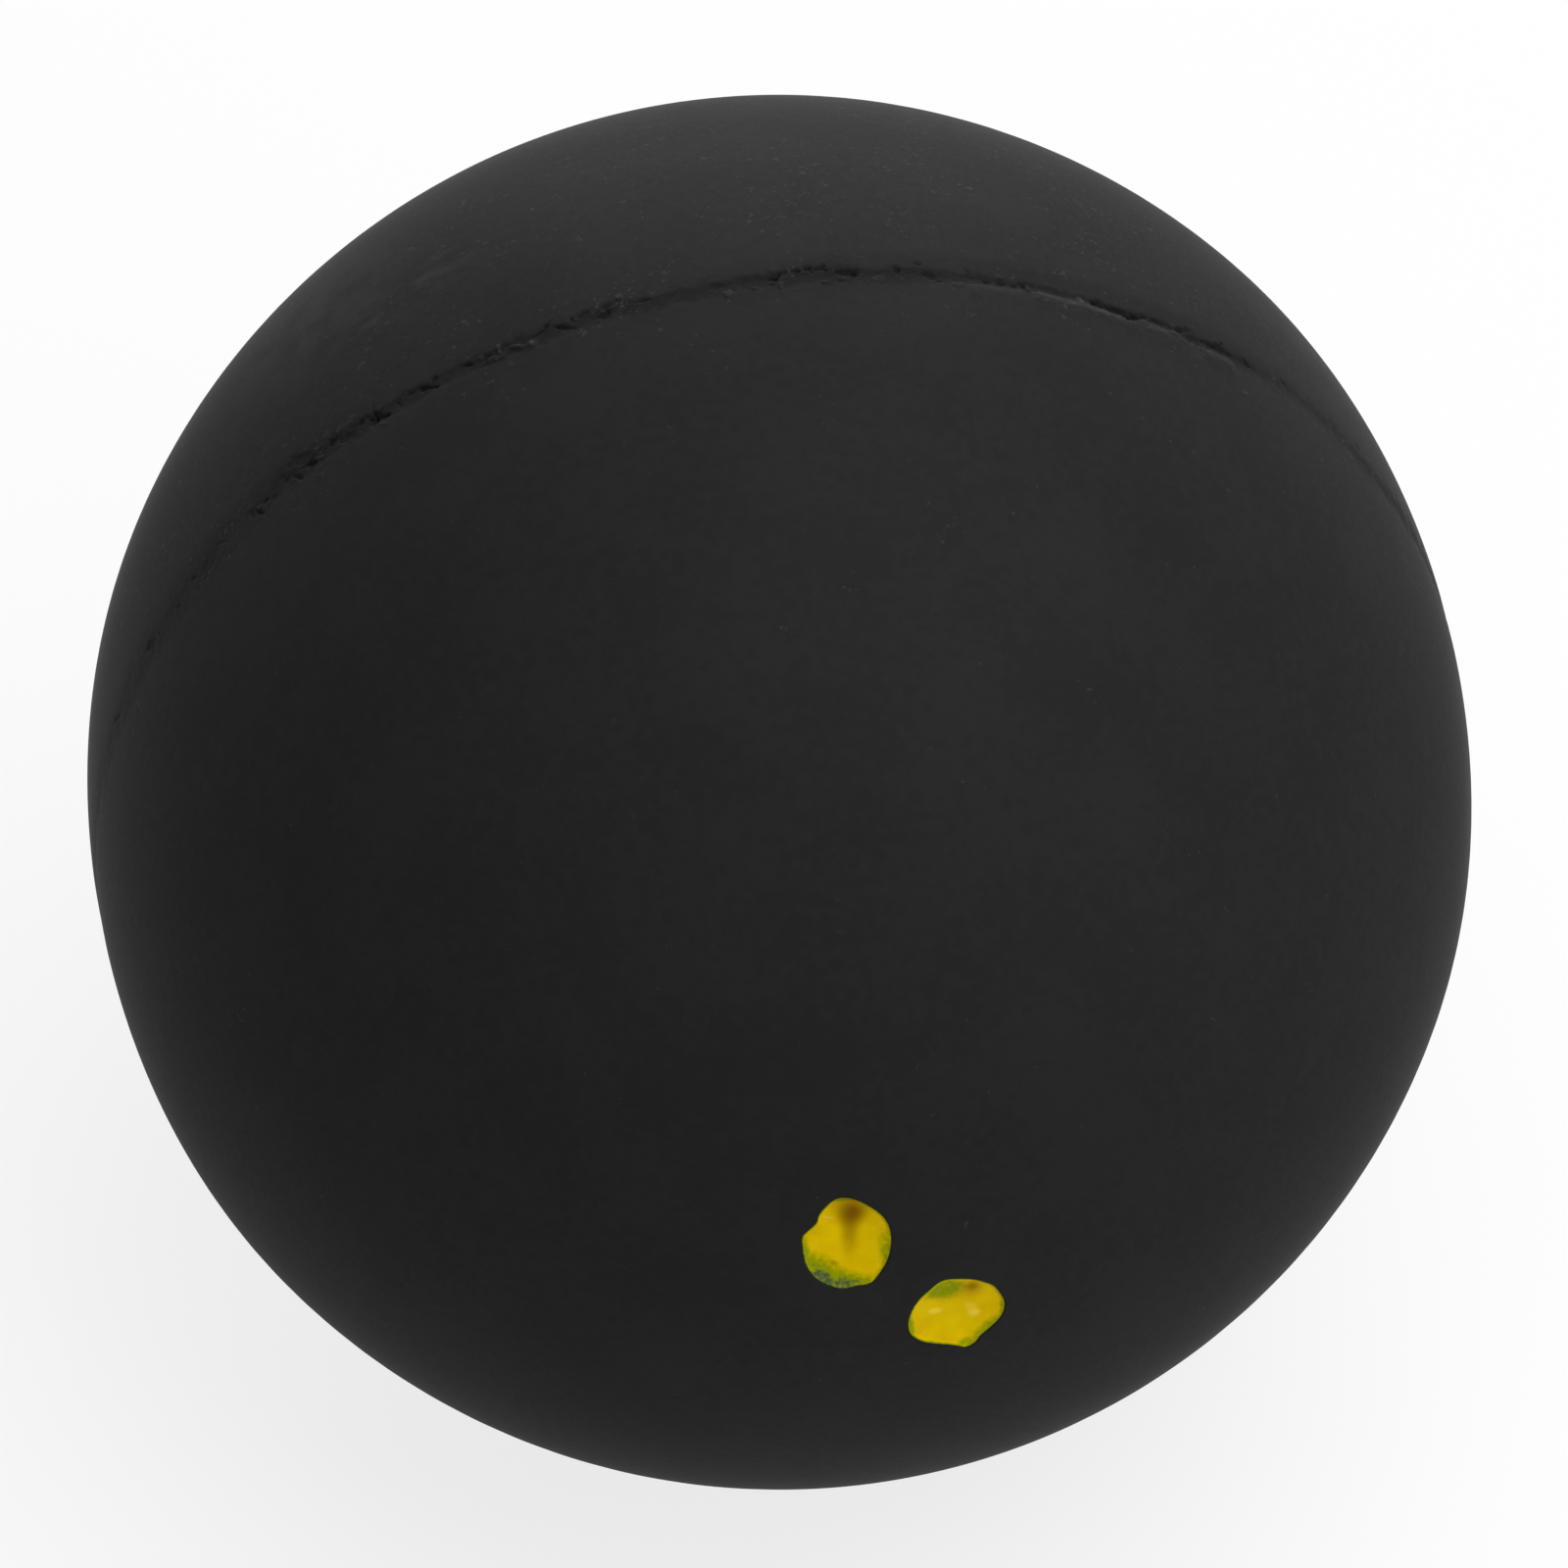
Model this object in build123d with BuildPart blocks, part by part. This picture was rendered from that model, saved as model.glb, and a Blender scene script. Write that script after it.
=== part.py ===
from build123d import *
from collections import namedtuple
import math
import os

# Squash ball, in millimetres.
# Two moulded rubber half shells are cemented rim to rim around sealed air. Two yellow paint
# dots, which mark the ball's speed, sit in shallow dimples near the pole of the front shell.
# Frame: origin at the middle of the ball, +Z up, the seam in the XZ plane, the dots towards -Y.

# Half shells
shell_outer_radius = 20.0
shell_wall = 5.2
shoulder_length = 8.0  # stretch next to the rim over which the outside draws in
rim_draw_in = 0.15  # how far the outside has drawn in where it meets the rim
rim_lip_radius = 0.25  # rounded outer edge of the rim, one side of the seam groove
rim_bevel = 0.6  # inner edge of the rim, buffed off to hold cement

# Cement ring between the rims
bond_thickness = 0.2
groove_depth = 0.25  # from the drawn-in outside down to the edge of the cement
meniscus_depth = 0.05  # hollow of that edge
bead_height = 0.3  # how far the squeezed-out bead swells into the cavity

# Dimples and the paint film in them
dimple_depth = 0.4  # at the middle of the dimple
dimple_dish_radius = 9.0  # of the hollow floor
paint_thickness = 0.12
paint_clearance = 0.02  # between the edge of the film and the wall of the dimple

# Upper dot: place from the front pole and size, as seen from the front
upper_dot_across = -1.08
upper_dot_up = 1.34
upper_dot_width = 2.6
upper_dot_height = 3.3
upper_dot_tilt = 8.0

# Lower dot
lower_dot_across = 2.09
lower_dot_up = -2.02
lower_dot_width = 2.8
lower_dot_height = 3.15
lower_dot_tilt = 20.0

# Worked out from the sizes above
cavity_radius = shell_outer_radius - shell_wall
half_bond = bond_thickness / 2
rim_outer_radius = shell_outer_radius - rim_draw_in
shoulder_radius = math.sqrt(shell_outer_radius**2 - shoulder_length**2)
bevel_outer_radius = cavity_radius + rim_bevel
bevel_inner_radius = math.sqrt(cavity_radius**2 - rim_bevel**2)
bond_outer_radius = rim_outer_radius - groove_depth

Dot = namedtuple("Dot", "across up width height tilt")
upper_dot = Dot(upper_dot_across, upper_dot_up, upper_dot_width, upper_dot_height, upper_dot_tilt)
lower_dot = Dot(lower_dot_across, lower_dot_up, lower_dot_width, lower_dot_height, lower_dot_tilt)
dots = {"yellow_dot_upper": upper_dot, "yellow_dot_lower": lower_dot}

# Section planes of the half shells: local x is the radius, local y runs from rim to pole
front_plane = Plane(origin=(0, -half_bond, 0), x_dir=(1, 0, 0), z_dir=(0, 0, -1))
rear_plane = Plane(origin=(0, half_bond, 0), x_dir=(1, 0, 0), z_dir=(0, 0, 1))


def shell_section(plane):
    """Half section of a half shell: crown, drawn-in shoulder, rounded rim, bevel and cavity."""
    crown = (0, shell_outer_radius)
    shoulder = (shoulder_radius, shoulder_length)
    rim_edge = (rim_outer_radius, 0)
    bevel_top = (bevel_inner_radius, rim_bevel)
    with BuildSketch(plane) as section:
        with BuildLine():
            RadiusArc(crown, shoulder, shell_outer_radius)
            TangentArc(shoulder, rim_edge, tangent=(shoulder_length, -shoulder_radius))
            Polyline(rim_edge, (bevel_outer_radius, 0), bevel_top)
            RadiusArc(bevel_top, (0, cavity_radius), -cavity_radius)
            Line((0, cavity_radius), crown)
        make_face()
        fillet(section.vertices().sort_by(Axis.X)[-1], rim_lip_radius)
    return section.sketch


def dot_plane(dot):
    """Plane that touches the front shell at a dot's middle, with its normal outwards."""
    depth = math.sqrt(shell_outer_radius**2 - dot.across**2 - dot.up**2)
    middle = (dot.across, -half_bond - depth, dot.up)
    return Plane(origin=middle, x_dir=(1, 0, 0), z_dir=(dot.across, -depth, dot.up))


def dish_centre(dot):
    """Where the hollow floor of a dot's dimple has its centre, outside the ball."""
    return dot_plane(dot).offset(dimple_dish_radius - dimple_depth)


def dimple_space(dot, clearance):
    """The space of a dot's dimple: an oval column that ends in the hollow floor."""
    with BuildPart() as space:
        with BuildSketch(dot_plane(dot)):
            Ellipse(dot.width / 2 + clearance, dot.height / 2 + clearance, rotation=dot.tilt)
        extrude(amount=2 * dimple_depth, both=True)
        with Locations(dish_centre(dot)):
            Sphere(dimple_dish_radius, mode=Mode.INTERSECT)
    return space.part


# Front half shell, with a dimple for each dot
dimples = [dimple_space(dot, paint_clearance) for dot in dots.values()]
with BuildPart() as front_half_shell:
    revolve(shell_section(front_plane), axis=Axis.Y)
    add(dimples, mode=Mode.SUBTRACT)
front_half_shell.part.label = "front_half_shell"

# Rear half shell
with BuildPart() as rear_half_shell:
    revolve(shell_section(rear_plane), axis=Axis.Y)
rear_half_shell.part.label = "rear_half_shell"

# Cement ring: a thin web between the rims, hollow at its outer edge, with a bead in the bevels
with BuildPart() as seam_bond:
    with BuildSketch(Plane.XY):
        bevel_reach = half_bond + rim_bevel
        with BuildLine():
            for side in (-1, 1):
                Polyline(
                    (bond_outer_radius, side * half_bond),
                    (bevel_outer_radius, side * half_bond),
                    (bevel_inner_radius, side * bevel_reach),
                )
            ThreePointArc(
                (bond_outer_radius, -half_bond),
                (bond_outer_radius - meniscus_depth, 0),
                (bond_outer_radius, half_bond),
            )
            ThreePointArc(
                (bevel_inner_radius, -bevel_reach),
                (bevel_inner_radius - bead_height, 0),
                (bevel_inner_radius, bevel_reach),
            )
        make_face()
    revolve(axis=Axis.Y)
seam_bond.part.label = "seam_bond"

# Paint dots: an even film on the hollow floor of each dimple
os.makedirs("parts", exist_ok=True)
for dot_name, dot in dots.items():
    dimple = dimple_space(dot, 0)
    with BuildPart() as paint_dot:
        add(dimple)
        with Locations(dish_centre(dot)):
            Sphere(dimple_dish_radius - paint_thickness, mode=Mode.SUBTRACT)
    paint_dot.part.label = dot_name
    export_step(paint_dot.part, f"parts/{dot_name}.step")

export_step(front_half_shell.part, "parts/front_half_shell.step")
export_step(rear_half_shell.part, "parts/rear_half_shell.step")
export_step(seam_bond.part, "parts/seam_bond.step")
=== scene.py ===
from collections import namedtuple
import math

import bmesh
import bpy
import numpy as np
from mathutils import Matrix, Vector
from mathutils.geometry import delaunay_2d_cdt


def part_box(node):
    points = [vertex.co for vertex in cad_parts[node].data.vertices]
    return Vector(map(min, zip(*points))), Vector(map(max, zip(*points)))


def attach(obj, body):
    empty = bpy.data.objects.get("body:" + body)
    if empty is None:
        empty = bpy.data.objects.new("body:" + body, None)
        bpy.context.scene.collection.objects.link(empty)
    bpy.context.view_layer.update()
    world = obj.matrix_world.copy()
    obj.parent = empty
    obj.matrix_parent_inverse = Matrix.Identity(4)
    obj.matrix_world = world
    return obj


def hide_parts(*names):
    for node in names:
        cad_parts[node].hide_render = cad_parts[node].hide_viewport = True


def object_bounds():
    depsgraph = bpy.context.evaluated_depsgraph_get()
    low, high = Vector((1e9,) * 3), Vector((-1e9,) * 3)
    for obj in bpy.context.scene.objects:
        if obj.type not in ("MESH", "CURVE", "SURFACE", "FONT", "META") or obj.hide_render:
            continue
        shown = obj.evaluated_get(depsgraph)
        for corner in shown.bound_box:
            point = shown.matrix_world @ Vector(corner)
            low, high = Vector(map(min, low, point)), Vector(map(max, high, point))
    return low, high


# A squash ball: two black rubber half shells, the cement between them and two yellow paint dots.
# Lengths are in millimetres until a mesh is made. Angles round the seam are in degrees and run
# from +X (0) over +Z (90), which is the top of the ball, to -X (180).

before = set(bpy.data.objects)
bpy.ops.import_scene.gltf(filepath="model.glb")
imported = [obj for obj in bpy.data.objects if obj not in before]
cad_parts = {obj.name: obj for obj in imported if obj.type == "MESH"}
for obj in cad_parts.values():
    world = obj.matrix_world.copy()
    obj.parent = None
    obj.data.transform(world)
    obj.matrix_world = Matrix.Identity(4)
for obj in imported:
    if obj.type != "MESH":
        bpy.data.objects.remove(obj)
cad_low, cad_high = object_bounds()

MM = 0.001
rng = np.random.default_rng(41)


def node_box(node):
    """Lowest and highest corner of a CAD node, in millimetres."""
    low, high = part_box(node)
    return np.array(low) / MM, np.array(high) / MM


# Sizes of the half shells
front_low, front_high = node_box("front_half_shell")
half_bond = -front_high[1]
shell_radius = front_high[1] - front_low[1]
shell_wall = 5.2
shoulder_length = 8.0
rim_draw_in = 0.15
rim_bevel = 0.6
cavity_radius = shell_radius - shell_wall
bevel_outer_radius = cavity_radius + rim_bevel
bevel_inner_radius = math.sqrt(cavity_radius**2 - rim_bevel**2)
bead_height = 0.3

# Mesh columns round the ball's axis
COLUMNS = 3072
around = np.linspace(0, 2 * math.pi, COLUMNS, endpoint=False)
around_degrees = np.degrees(around)


class Surface:
    """Collects the points and faces of one closed mesh, ring by ring, with a tint for every point."""

    def __init__(self, tint=(0,)):
        self.plain_tint = tint
        self.blocks = []
        self.tints = []
        self.faces = []
        self.count = 0

    def add(self, points, tint=None):
        """Adds points and returns their numbers."""
        first = self.count
        self.blocks.append(np.asarray(points, float))
        plain = np.tile(self.plain_tint, (len(points), 1))
        self.tints.append(plain if tint is None else np.reshape(tint, plain.shape))
        self.count += len(points)
        return np.arange(first, self.count)

    def bridge(self, one, two):
        """Joins two rings with equally many points, or one with twice as many as the other."""
        if len(one) < len(two):
            one, two = two, one
        two_next = np.roll(two, -1)
        if len(one) == len(two):
            self.faces += np.stack([one, np.roll(one, -1), two_next, two], 1).tolist()
            return
        even = one[0::2]
        odd = one[1::2]
        even_next = np.roll(even, -1)
        self.faces += np.stack([even, odd, two], 1).tolist()
        self.faces += np.stack([odd, two_next, two], 1).tolist()
        self.faces += np.stack([odd, even_next, two_next], 1).tolist()

    def bridge_all(self, rings):
        """Joins each ring to the next one."""
        for one, two in zip(rings, rings[1:]):
            self.bridge(one, two)

    def close(self, ring, tip):
        """Closes a ring with a fan of triangles to one point."""
        tip_number = self.add([tip])[0]
        tips = np.full(len(ring), tip_number)
        self.faces += np.stack([ring, np.roll(ring, -1), tips], 1).tolist()

    def points(self):
        return np.concatenate(self.blocks)


# Names of the tints on the rubber and cement, which have one, and on the paint, which has three
TINTS = {1: ["shade_and_pale"], 3: ["thin", "stain", "pale"]}
SHARP_ANGLE = 65  # edges that bend by more degrees are shaded sharp


def make_piece(name, surface, material, node):
    """Turns a surface into a piece that stands for a CAD node."""
    mesh = bpy.data.meshes.new(name)
    mesh.from_pydata((surface.points() * MM).tolist(), [], surface.faces)
    build = bmesh.new()
    build.from_mesh(mesh)
    bmesh.ops.recalc_face_normals(build, faces=build.faces)
    build.to_mesh(mesh)
    build.free()
    mesh.polygons.foreach_set("use_smooth", [True] * len(mesh.polygons))
    mesh.set_sharp_from_angle(angle=math.radians(SHARP_ANGLE))
    tints = np.concatenate(surface.tints)
    for column, tint_name in enumerate(TINTS[tints.shape[1]]):
        values = mesh.attributes.new(tint_name, "FLOAT", "POINT")
        values.data.foreach_set("value", tints[:, column])
    mesh.materials.append(material)
    piece = bpy.data.objects.new(name, mesh)
    bpy.context.collection.objects.link(piece)
    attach(piece, "root")
    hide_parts(node)
    return piece


def smooth_step(value):
    """Eases from 0 to 1 as the value goes from 0 to 1."""
    value = np.clip(value, 0, 1)
    return value * value * (3 - 2 * value)


def hump(distance, width):
    """1 at distance 0, falling off on both sides over a width."""
    return np.exp(-((distance / width) ** 2))


# A small mark on a surface: its middle, length and width, its tilt in degrees, and its strength
Mark = namedtuple("Mark", "along across length width tilt strength")


def mark_shape(mark, along, across, edge):
    """1 inside a mark and 0 outside; the change takes that share of the mark's half size."""
    turn = math.radians(mark.tilt)
    lengthwise = along * math.cos(turn) + across * math.sin(turn)
    crosswise = across * math.cos(turn) - along * math.sin(turn)
    reach = np.hypot(lengthwise / (mark.length / 2), crosswise / (mark.width / 2))
    return smooth_step((1 + edge / 2 - reach) / edge)


# The seam: the two rims and the cement between them make one worn surface. Marks are where it has
# torn or where flash stands up: the angle round the seam, the distance from the seam's middle
# (positive towards the rear), the length along the seam and the width, the tilt (positive rises
# to the rear towards smaller angles), and the strength, which sets both how far the surface lies
# lower or higher and how dark or light it is. The dark colour of a tear is painted shade.
tears = [
    Mark(163.9, 0.12, 0.55, 0.20, -35, 0.06),
    Mark(155.3, 0.06, 0.55, 0.38, -60, 0.08),
    Mark(150.4, -0.08, 0.35, 0.10, -45, 0.07),
    Mark(147.4, 0.08, 0.35, 0.10, -40, 0.06),
    Mark(145.4, -0.10, 0.60, 0.40, 0, 0.06),
    Mark(143.3, 0.17, 0.35, 0.09, -40, 0.05),
    Mark(139.3, -0.02, 0.30, 0.13, -60, 0.11),
    Mark(138.5, -0.12, 0.34, 0.11, -45, 0.18),
    Mark(137.6, 0.06, 0.28, 0.16, -30, 0.09),
    Mark(136.6, -0.10, 0.35, 0.20, -35, 0.06),
    Mark(135.2, 0.20, 0.80, 0.17, -60, 0.07),
    Mark(133.8, -0.12, 0.38, 0.16, -50, 0.17),
    Mark(133.2, 0.48, 0.90, 0.45, -30, 0.11),
    Mark(132.25, -0.02, 0.28, 0.26, -45, 0.22),
    Mark(130.0, 0.27, 0.30, 0.20, -35, 0.17),
    Mark(128.9, 0.10, 0.90, 0.34, -32, 0.08),
    Mark(126.9, 0.22, 0.22, 0.20, 60, 0.20),
    Mark(126.0, 0.20, 0.36, 0.10, -40, 0.14),
    Mark(125.5, 0.02, 0.38, 0.26, 70, 0.22),
    Mark(125.5, 0.40, 0.34, 0.08, 75, 0.09),
    Mark(124.6, -0.13, 0.45, 0.14, -22, 0.22),
    Mark(123.1, 0.00, 0.26, 0.09, -60, 0.09),
    Mark(122.2, 0.22, 0.45, 0.20, -30, 0.07),
    Mark(120.4, 0.02, 0.66, 0.12, -28, 0.20),
    Mark(119.5, 0.20, 0.19, 0.16, -40, 0.17),
    Mark(116.6, 0.09, 0.42, 0.12, -22, 0.16),
    Mark(114.7, 0.02, 0.32, 0.20, 20, 0.11),
    Mark(109.8, 0.20, 0.54, 0.16, 30, 0.14),
    Mark(108.1, 0.02, 0.64, 0.14, -32, 0.16),
    Mark(107.2, 0.17, 0.16, 0.14, 0, 0.11),
    Mark(106.2, 0.29, 0.38, 0.14, 5, 0.20),
    Mark(104.3, 0.32, 0.38, 0.20, 0, 0.13),
    Mark(104.5, 0.00, 0.42, 0.19, 10, 0.16),
    Mark(103.0, 0.14, 0.34, 0.34, 0, 0.06),
    Mark(101.2, 0.13, 0.44, 0.14, -12, 0.11),
    Mark(95.2, 0.05, 0.36, 0.28, 0, 0.06),
    Mark(90.35, 0.05, 0.26, 0.15, -10, 0.22),
    Mark(89.95, 0.18, 0.28, 0.09, 60, 0.17),
    Mark(89.3, 0.30, 0.50, 0.16, 5, 0.10),
    Mark(88.5, 0.30, 0.16, 0.14, 0, 0.20),
    Mark(87.5, 0.37, 0.22, 0.16, 0, 0.20),
    Mark(86.5, 0.37, 0.32, 0.14, 25, 0.20),
    Mark(84.45, 0.14, 0.54, 0.18, -15, 0.25),
    Mark(83.7, 0.20, 0.24, 0.13, 30, 0.15),
    Mark(80.1, 0.25, 0.18, 0.24, 0, 0.18),
    Mark(78.3, 0.50, 0.28, 0.12, 0, 0.10),
    Mark(77.4, 0.02, 0.36, 0.24, -35, 0.11),
    Mark(74.1, 0.20, 0.13, 0.36, 0, 0.08),
    Mark(72.7, 0.00, 0.20, 0.12, 0, 0.11),
    Mark(71.3, 0.00, 0.22, 0.12, 0, 0.11),
    Mark(70.3, 0.00, 0.20, 0.12, 0, 0.11),
    Mark(69.4, 0.08, 0.18, 0.26, 10, 0.14),
    Mark(63.0, 0.04, 0.34, 0.18, 35, 0.13),
    Mark(60.9, -0.03, 0.98, 0.24, -3, 0.23),
    Mark(59.2, -0.06, 0.42, 0.14, 20, 0.21),
    Mark(58.1, 0.17, 0.24, 0.15, 35, 0.13),
    Mark(56.9, 0.17, 0.50, 0.17, 5, 0.13),
    Mark(54.5, 0.20, 0.32, 0.22, 55, 0.15),
    Mark(53.8, 0.35, 0.34, 0.15, 35, 0.11),
    Mark(53.2, 0.00, 0.50, 0.34, 0, 0.06),
    Mark(51.3, 0.20, 0.36, 0.28, 15, 0.11),
    Mark(50.2, 0.29, 0.44, 0.30, 10, 0.20),
    Mark(47.35, 0.28, 0.20, 0.38, 20, 0.11),
    Mark(42.7, 0.50, 0.20, 0.30, 40, 0.05),
    Mark(32.2, 0.60, 0.30, 0.18, 35, 0.05),
]
flashes = [
    Mark(138.4, 0.03, 0.16, 0.10, -40, 0.04),
    Mark(131.4, -0.03, 0.38, 0.11, -25, 0.05),
    Mark(130.3, 0.57, 0.24, 0.15, 70, 0.03),
    Mark(128.7, 0.45, 0.24, 0.18, 60, 0.03),
    Mark(127.7, 0.47, 0.22, 0.14, 70, 0.04),
    Mark(124.8, -0.43, 0.28, 0.09, -35, 0.03),
    Mark(115.3, 0.10, 0.20, 0.15, -50, 0.05),
    Mark(114.2, -0.14, 0.52, 0.13, 0, 0.10),
    Mark(113.65, 0.05, 0.42, 0.10, 90, 0.10),
    Mark(112.2, -0.05, 0.34, 0.11, -28, 0.09),
    Mark(111.3, -0.19, 0.50, 0.12, -3, 0.10),
    Mark(110.75, -0.17, 0.16, 0.20, 0, 0.09),
    Mark(94.3, -0.40, 0.18, 0.26, 0, 0.06),
    Mark(92.1, -0.25, 0.16, 0.14, 0, 0.04),
    Mark(90.3, 0.42, 0.24, 0.20, 0, 0.05),
    Mark(90.6, -0.10, 0.13, 0.11, 0, 0.05),
    Mark(89.9, -0.28, 0.38, 0.11, 90, 0.06),
    Mark(86.4, -0.25, 0.15, 0.14, 0, 0.05),
    Mark(84.9, -0.12, 0.24, 0.22, 0, 0.03),
    Mark(82.3, -0.20, 0.20, 0.16, 0, 0.03),
    Mark(81.5, -0.20, 0.13, 0.20, 0, 0.03),
    Mark(75.3, -0.25, 0.36, 0.17, 0, 0.04),
    Mark(71.4, 0.25, 0.12, 0.12, 0, 0.05),
    Mark(69.05, 0.02, 0.13, 0.24, 0, 0.08),
    Mark(64.3, -0.05, 0.28, 0.28, 0, 0.09),
    Mark(58.4, -0.10, 0.28, 0.20, 0, 0.08),
    Mark(55.3, -0.07, 0.32, 0.20, 20, 0.07),
    Mark(54.4, -0.25, 0.15, 0.17, 0, 0.04),
]
# The listed marks cover this stretch; the rest of the seam gets marks like them at random places
listed_from = 4
listed_to = 200


def random_marks(count, width, strength):
    """Marks of that greatest width and strength, spread over the rest of the seam."""
    marks = []
    for _ in range(count):
        angle = listed_to + rng.uniform(0, 360 - (listed_to - listed_from))
        size = rng.uniform(0.5, 1)
        length = rng.uniform(1, 4) * size * width
        marks.append(
            Mark(angle, rng.normal(0.1, 0.17), length, size * width, rng.normal(0, 30), size * strength)
        )
    return marks


tears += random_marks(46, 0.22, 0.2)
flashes += random_marks(22, 0.16, 0.06)


def round_seam(*stops):
    """Value for every column, from values at a few angles round the seam and straight between them."""
    angles, values = zip(*stops)
    return np.interp(around_degrees, angles, values, period=360)


# The groove along the seam: the place of its middle, its half width and its depth
groove_middle = round_seam(
    (0, 0), (25, -0.05), (32, 0), (40, 0.18), (50, 0.05), (60, 0), (75, 0), (88, 0.02), (100, -0.03),
    (120, -0.03), (135, 0.06), (150, -0.05), (180, 0.02),
)
groove_half_width = round_seam(
    (0, 0.5), (25, 0.48), (35, 0.36), (50, 0.3), (66, 0.25), (80, 0.32), (88, 0.34), (98, 0.3),
    (130, 0.28), (140, 0.4), (155, 0.42), (165, 0.5), (180, 0.5), (195, 0.5), (215, 0.3), (340, 0.35),
)
groove_depth = round_seam(
    (0, 0.04), (30, 0.03), (36, 0.016), (44, 0.014), (50, 0.035), (66, 0.025), (80, 0.025), (87, 0.035),
    (97, 0.025), (110, 0.03), (130, 0.03), (141, 0.01), (152, 0.016), (180, 0.014), (210, 0.03),
    (260, 0.02), (300, 0.04), (330, 0.03),
)

groove_shade = 24  # painted shade: how dark the groove is coloured for each millimetre of its depth
darkest_groove = 0.66

# The soft dark bands beside the groove, which are painted shade: how dark they are on its rear and on its
# front side, and their middles and half widths
rear_shade = round_seam(
    (20, 0), (38, 0.35), (55, 0.4), (75, 0.4), (90, 0.25), (105, 0.1), (125, 0.1), (134, 0.45),
    (150, 0.4), (165, 0.2), (185, 0), (340, 0.2),
)
rear_shade_middle = 0.65
rear_shade_width = 0.5
front_shade = round_seam(
    (20, 0.2), (35, 0.3), (48, 0), (74, 0), (80, 0.35), (100, 0.3), (112, 0), (130, 0.1),
    (144, 0.35), (165, 0.4), (176, 0.35), (190, 0),
)
front_shade_middle = -0.45
front_shade_width = 0.4

# The lip of flash that stands along the front edge of the groove: its height and place
lip_height = round_seam(
    (0, 0), (48.8, 0), (49.4, 0.05), (52, 0.06), (52.3, 0.01), (54.4, 0.01), (55, 0.05), (68.3, 0.06),
    (68.8, 0.01), (69.6, 0.03), (74, 0.03), (74.6, 0), (205, 0), (206, 0.04), (219, 0.05), (220, 0),
    (282, 0), (284, 0.04), (291, 0.03), (292, 0),
)
lip_middle = round_seam(
    (0, -0.2), (49, -0.18), (52, -0.22), (55, -0.2), (58, -0.2), (61, -0.27), (64, -0.2), (66, -0.24),
    (68, -0.17), (70, -0.26), (74, -0.28), (180, -0.12),
)
lip_rear_width = 0.13  # over which the lip falls off steeply to the groove
lip_front_width = 0.5  # over which it runs out on the front shell
lip_lightness = 12  # how light the lip is for each millimetre of its height

# Lift in millimetres and tone (dark below 0, light above it) of a tear and a flash of strength 1; a tear's
# dark tone is painted shade
tear_lift = -0.4
tear_shade = -2.5
flash_lift = 0.8
flash_lightness = 8

noise_reach = 1.5  # how far from the seam's middle the noises below reach
rough_reach = 0.45  # how far from it the surface is rough
mark_edge = 1.0  # share of a mark's half size over which it fades


def seam_noise(cells):
    """Smooth random values between -1 and 1 by column and distance from the seam's middle."""
    pitch = 2 * math.pi * shell_radius / cells
    knots = rng.uniform(-1, 1, (2 * math.ceil(noise_reach / pitch) + 2, cells))
    place = np.arange(COLUMNS) * cells / COLUMNS
    left = np.floor(place).astype(int)
    right = (left + 1) % cells
    blend = smooth_step(place - left)

    def value(across):
        row = across / pitch + len(knots) / 2
        low = math.floor(row)
        low_values = knots[low][left] * (1 - blend) + knots[low][right] * blend
        high_values = knots[low + 1][left] * (1 - blend) + knots[low + 1][right] * blend
        share = smooth_step(row - low)
        return low_values * (1 - share) + high_values * share

    return value


coarse_noise = seam_noise(260)
middle_noise = seam_noise(620)
fine_noise = seam_noise(1400)


def groove_relief(across):
    """Lift and painted shade from the groove, which noise makes uneven, and painted shade from the soft
    bands beside it.
    """
    coarse = coarse_noise(across)
    middle = middle_noise(across)
    beside = across - groove_middle
    half_width = groove_half_width * (1 + 0.2 * coarse + 0.25 * middle)
    groove = hump(beside, half_width) * (1 + 0.4 * coarse + 0.3 * middle)
    lift = -groove_depth * groove
    flat_band = np.exp(-((beside / half_width) ** 4))
    # Painted shade: the groove's colour darkens with its depth
    darkness = np.minimum(darkest_groove, groove_shade * groove_depth)
    shade_and_pale = -darkness * flat_band * (1 + 0.3 * fine_noise(across))
    shade_and_pale = shade_and_pale - rear_shade * hump(across - rear_shade_middle, rear_shade_width)
    shade_and_pale = shade_and_pale - front_shade * hump(across - front_shade_middle, front_shade_width)
    return lift, shade_and_pale


def lip_relief(across, ragged):
    """Lift and lighter colour from the lip of flash."""
    beyond = across - lip_middle
    width = np.where(beyond > 0, lip_rear_width, lip_front_width)
    lift = lip_height * hump(beyond, width) * (1 + 0.5 * ragged)
    shade_and_pale = lip_lightness * lip_height * hump(beyond, lip_rear_width) * (1 + ragged)
    return lift, shade_and_pale


def add_marks(marks, mark_lift, mark_tone, across, ragged, lift, shade_and_pale):
    """Adds marks to the lift and tone of a line along the seam, painted shade for tears and paler colour
    for flash; the noise makes them ragged.
    """
    for mark in marks:
        reach = mark.length + mark.width
        along = ((mark.along - around_degrees + 180) % 360 - 180) * math.radians(shell_radius)
        near = (np.abs(along) < reach) & (abs(across - mark.across) < reach)
        stretch = 1 + ragged[near]
        shape = mark_shape(mark, stretch * along[near], stretch * (across - mark.across), mark_edge)
        lift[near] += mark_lift * mark.strength * shape
        shade_and_pale[near] += np.clip(mark_tone * mark.strength, -1, 1) * shape


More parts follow.
